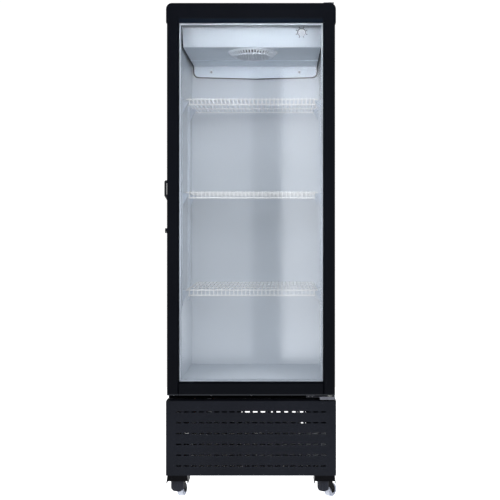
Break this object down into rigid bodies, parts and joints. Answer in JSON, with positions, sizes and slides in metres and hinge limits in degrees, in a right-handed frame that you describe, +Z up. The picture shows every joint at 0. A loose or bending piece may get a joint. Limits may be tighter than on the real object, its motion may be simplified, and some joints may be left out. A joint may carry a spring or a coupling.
{
  "type": "glass door merchandiser",
  "caption": "Upright refrigerated display cabinet with a hinged double-glass door, wire shelves, a ceiling cooling unit, a slotted plinth and swivel casters.",
  "frame": {"origin": "on the floor under the middle of the cabinet", "axes": "+X to the right seen from the front, the door faces -Y, +Z up"},
  "size_m": [0.6399, 0.59, 1.846],
  "materials": {
    "door_frame_black": "satin",
    "handle_black": "satin",
    "clear_glass": "polished",
    "spacer_aluminium": "satin",
    "gasket_rubber": "matte",
    "lock_black": "satin",
    "lock_steel": "polished",
    "fastener_steel": "satin",
    "bush_nylon": "satin",
    "hinge_zinc": "satin",
    "shell_black": "satin",
    "plinth_charcoal": "matte",
    "breaker_black": "satin",
    "foam": "matte",
    "liner_grey": "satin",
    "cover_white": "satin",
    "fan_black": "satin",
    "motor_steel": "satin",
    "coil_aluminium": "satin",
    "coil_black": "matte",
    "galvanised_sheet": "satin",
    "compressor_black": "gloss",
    "mount_rubber": "matte",
    "copper": "satin",
    "white_plastic": "satin",
    "gland_black": "satin",
    "led_diffuser": "satin",
    "standard_white": "satin",
    "shelf_white": "gloss",
    "caster_black": "satin",
    "wheel_nylon": "satin",
    "pedal_grey": "matte"
  },
  "bodies": {
    "cabinet": {"base_pan": "galvanised_sheet", "cabinet_screws": "fastener_steel", "caster_brackets": "caster_black", "compressor": "compressor_black", "compressor_mounts": "mount_rubber", "condenser_coil": "coil_black", "condenser_fan_motor": "motor_steel", "condenser_fan_shroud": "galvanised_sheet", "cord_gland": "gland_black", "drain_tube": "white_plastic", "evaporation_tray": "white_plastic", "evaporator_coil": "coil_aluminium", "evaporator_cover": "cover_white", "evaporator_fan_motor": "motor_steel", "fan_guard": "cover_white", "filter_drier": "copper", "front_breaker_frame": "breaker_black", "front_grille_panel": "plinth_charcoal", "hinge_brackets": "hinge_zinc", "hinge_pins": "fastener_steel", "inner_liner": "liner_grey", "insulation_foam": "foam", "led_light_strip": "led_diffuser", "lower_front_beam": "shell_black", "outer_shell": "shell_black", "power_box": "white_plastic", "rear_grille_panel": "shell_black", "rear_panel": "shell_black", "refrigerant_lines": "copper", "shelf_clips": "standard_white", "shelf_standards": "standard_white", "thermostat_body": "white_plastic"},
    "door": {"door_left_stile": "door_frame_black", "door_right_stile": "door_frame_black", "door_bottom_rail": "door_frame_black", "door_top_cap": "door_frame_black", "door_glass_panes": "clear_glass", "glass_spacer": "spacer_aluminium", "door_gasket": "gasket_rubber", "side_pull_handle": "handle_black", "handle_studs": "fastener_steel", "lock_barrel": "lock_black", "hinge_bushes": "bush_nylon"},
    "lock_plug": {"lock_plug_cam": "lock_steel"},
    "thermostat_dial": {"thermostat_knob": "white_plastic"},
    "evaporator_fan": {"evaporator_fan_blade": "fan_black"},
    "condenser_fan": {"condenser_fan_blade": "fan_black"},
    "lower_shelf": {"lower_shelf": "shelf_white"},
    "middle_shelf": {"middle_shelf": "shelf_white"},
    "upper_shelf": {"upper_shelf": "shelf_white"},
    "caster_front_left": {"caster_fork_front_left": "caster_black"},
    "wheel_front_left": {"caster_wheel_front_left": "wheel_nylon"},
    "caster_front_right": {"caster_fork_front_right": "caster_black"},
    "wheel_front_right": {"caster_wheel_front_right": "wheel_nylon"},
    "caster_rear_left": {"caster_fork_rear_left": "caster_black"},
    "wheel_rear_left": {"caster_wheel_rear_left": "wheel_nylon"},
    "caster_rear_right": {"caster_fork_rear_right": "caster_black"},
    "wheel_rear_right": {"caster_wheel_rear_right": "wheel_nylon"},
    "pedal_front_left": {"brake_pedal_front_left": "pedal_grey"},
    "pedal_front_right": {"brake_pedal_front_right": "pedal_grey"}
  },
  "joints": [
    {"name": "door_hinge", "type": "hinge", "parent": "cabinet", "child": "door", "pos_m": [0.291, -0.274, 0.393], "axis": [0, 0, 1], "range_deg": [0, 110]},
    {"name": "lock_turn", "type": "hinge", "parent": "door", "child": "lock_plug", "pos_m": [-0.31, -0.262, 1.001], "axis": [-1, 0, 0], "range_deg": [0, 90]},
    {"name": "thermostat_turn", "type": "hinge", "parent": "cabinet", "child": "thermostat_dial", "pos_m": [0.188, -0.22024, 1.748], "axis": [0, 0.8129, 0.5824], "range_deg": [0, 270]},
    {"name": "evaporator_fan_spin", "type": "hinge", "parent": "cabinet", "child": "evaporator_fan", "pos_m": [0, -0.08, 1.7], "axis": [0, 0, 1], "continuous": true},
    {"name": "condenser_fan_spin", "type": "hinge", "parent": "cabinet", "child": "condenser_fan", "pos_m": [-0.021, -0.196, 0.196], "axis": [0, 1, 0], "continuous": true},
    {"name": "lower_shelf_lift", "type": "slide", "parent": "cabinet", "child": "lower_shelf", "axis": [0, 0, 1], "range_m": [0, 0.02]},
    {"name": "middle_shelf_lift", "type": "slide", "parent": "cabinet", "child": "middle_shelf", "axis": [0, 0, 1], "range_m": [0, 0.02]},
    {"name": "upper_shelf_lift", "type": "slide", "parent": "cabinet", "child": "upper_shelf", "axis": [0, 0, 1], "range_m": [0, 0.02]},
    {"name": "caster_front_left_swivel", "type": "hinge", "parent": "cabinet", "child": "caster_front_left", "pos_m": [-0.273, -0.245, 0.083], "axis": [0, 0, 1], "continuous": true},
    {"name": "wheel_front_left_spin", "type": "hinge", "parent": "caster_front_left", "child": "wheel_front_left", "pos_m": [-0.26248, -0.21057, 0.02535], "axis": [0.9563, -0.2924, 0], "continuous": true},
    {"name": "pedal_front_left_press", "type": "hinge", "parent": "caster_front_left", "child": "pedal_front_left", "pos_m": [-0.273, -0.245, 0.064], "axis": [0.9563, -0.2924, 0], "range_deg": [0, 10]},
    {"name": "caster_front_right_swivel", "type": "hinge", "parent": "cabinet", "child": "caster_front_right", "pos_m": [0.273, -0.245, 0.083], "axis": [0, 0, 1], "continuous": true},
    {"name": "wheel_front_right_spin", "type": "hinge", "parent": "caster_front_right", "child": "wheel_front_right", "pos_m": [0.29662, -0.21783, 0.02535], "axis": [0.7547, -0.6561, 0], "continuous": true},
    {"name": "pedal_front_right_press", "type": "hinge", "parent": "caster_front_right", "child": "pedal_front_right", "pos_m": [0.273, -0.245, 0.064], "axis": [0.7547, -0.6561, 0], "range_deg": [0, 10]},
    {"name": "caster_rear_left_swivel", "type": "hinge", "parent": "cabinet", "child": "caster_rear_left", "pos_m": [-0.273, 0.228, 0.083], "axis": [0, 0, 1], "continuous": true},
    {"name": "wheel_rear_left_spin", "type": "hinge", "parent": "caster_rear_left", "child": "wheel_rear_left", "pos_m": [-0.26552, 0.26321, 0.02535], "axis": [0.9781, -0.2079, 0], "continuous": true},
    {"name": "caster_rear_right_swivel", "type": "hinge", "parent": "cabinet", "child": "caster_rear_right", "pos_m": [0.273, 0.228, 0.083], "axis": [0, 0, 1], "continuous": true},
    {"name": "wheel_rear_right_spin", "type": "hinge", "parent": "caster_rear_right", "child": "wheel_rear_right", "pos_m": [0.26799, 0.26365, 0.02535], "axis": [0.9903, 0.1392, 0], "continuous": true}
  ]
}
